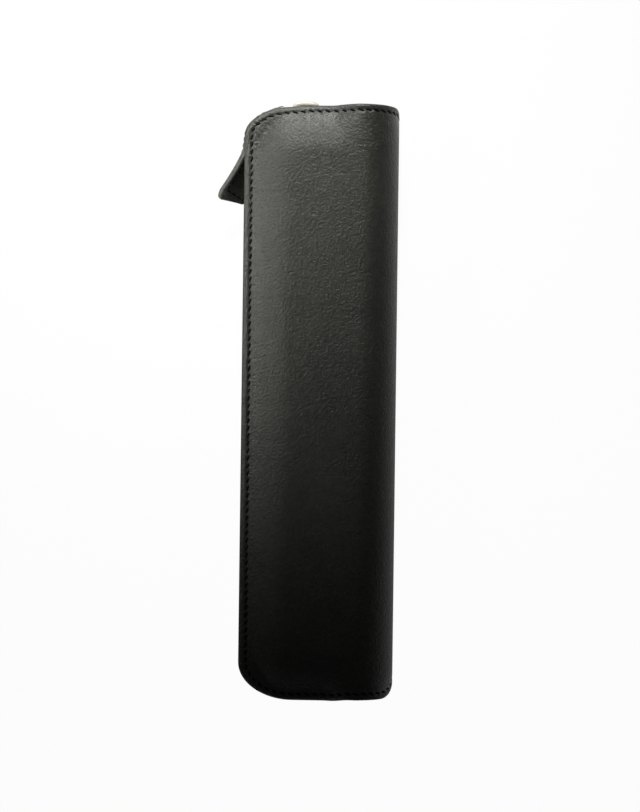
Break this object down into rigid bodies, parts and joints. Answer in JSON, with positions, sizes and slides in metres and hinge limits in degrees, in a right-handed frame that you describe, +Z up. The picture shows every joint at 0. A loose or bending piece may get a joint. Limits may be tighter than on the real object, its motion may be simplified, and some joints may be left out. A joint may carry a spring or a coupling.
{
  "type": "pen case",
  "caption": "Zip-round leather case for a pen, with padded covers on a rounded spine, a zip slider with a leather pull tab, and an elastic pen loop inside.",
  "frame": {"origin": "centre of the back cover's flat resting face", "axes": "+Z up through the thickness, +Y towards the slider's end, +X towards the folded spine"},
  "size_m": [0.0517, 0.1681, 0.0223],
  "materials": {
    "leather": "smooth black leather with a satin sheen",
    "board": "stiffener board, hidden",
    "lining": "fine woven dark lining",
    "tape": "woven black zip tape",
    "zip_metal": "nickel-coloured zip teeth",
    "thread": "black sewing thread",
    "elastic": "ribbed black elastic",
    "nickel": "polished warm nickel"
  },
  "bodies": {
    "back_half": {"back_cover": "leather", "back_padding": "board", "back_lining": "lining", "back_tape": "tape", "back_teeth": "zip_metal", "back_top_stop": "zip_metal", "back_zip_ends": "leather", "back_stitching": "thread", "bottom_stop": "zip_metal", "pen_loop": "elastic", "pen_loop_stitching": "thread"},
    "spine": {"spine_cover": "leather", "spine_padding": "board", "spine_lining": "lining", "spine_stitching": "thread"},
    "front_half": {"front_cover": "leather", "front_padding": "board", "front_lining": "lining", "front_tape": "tape", "front_teeth": "zip_metal", "front_top_stop": "zip_metal", "front_zip_ends": "leather", "front_stitching": "thread"},
    "slider": {"slider_body": "nickel", "slider_crown": "nickel"},
    "ring": {"pull_ring": "nickel"},
    "tab": {"pull_tab": "leather", "pull_tab_stitching": "thread"}
  },
  "joints": [
    {"name": "spine_fold", "type": "hinge", "parent": "back_half", "child": "spine", "pos_m": [0.01848, 0, 0.00322], "axis": [0, 1, 0], "range_deg": [0, 90]},
    {"name": "front_fold", "type": "hinge", "parent": "spine", "child": "front_half", "pos_m": [0.01848, 0, 0.01878], "axis": [0, 1, 0], "range_deg": [0, 90]},
    {"name": "slider_slide", "type": "slide", "parent": "back_half", "child": "slider", "axis": [-1, 0, 0], "range_m": [0, 0.004], "deforming": ["back_teeth", "front_teeth"]},
    {"name": "ring_swing", "type": "hinge", "parent": "slider", "child": "ring", "pos_m": [-0.0057, 0.08257, 0.011], "axis": [0, 0, -1], "range_deg": [0, 120]},
    {"name": "tab_swing", "type": "hinge", "parent": "ring", "child": "tab", "pos_m": [-0.0116, 0.08215, 0.011], "axis": [0, 0, -1], "range_deg": [0, 45]}
  ],
  "couplings": [
    {"joint": "front_fold", "follows": "spine_fold", "ratio": 1}
  ]
}
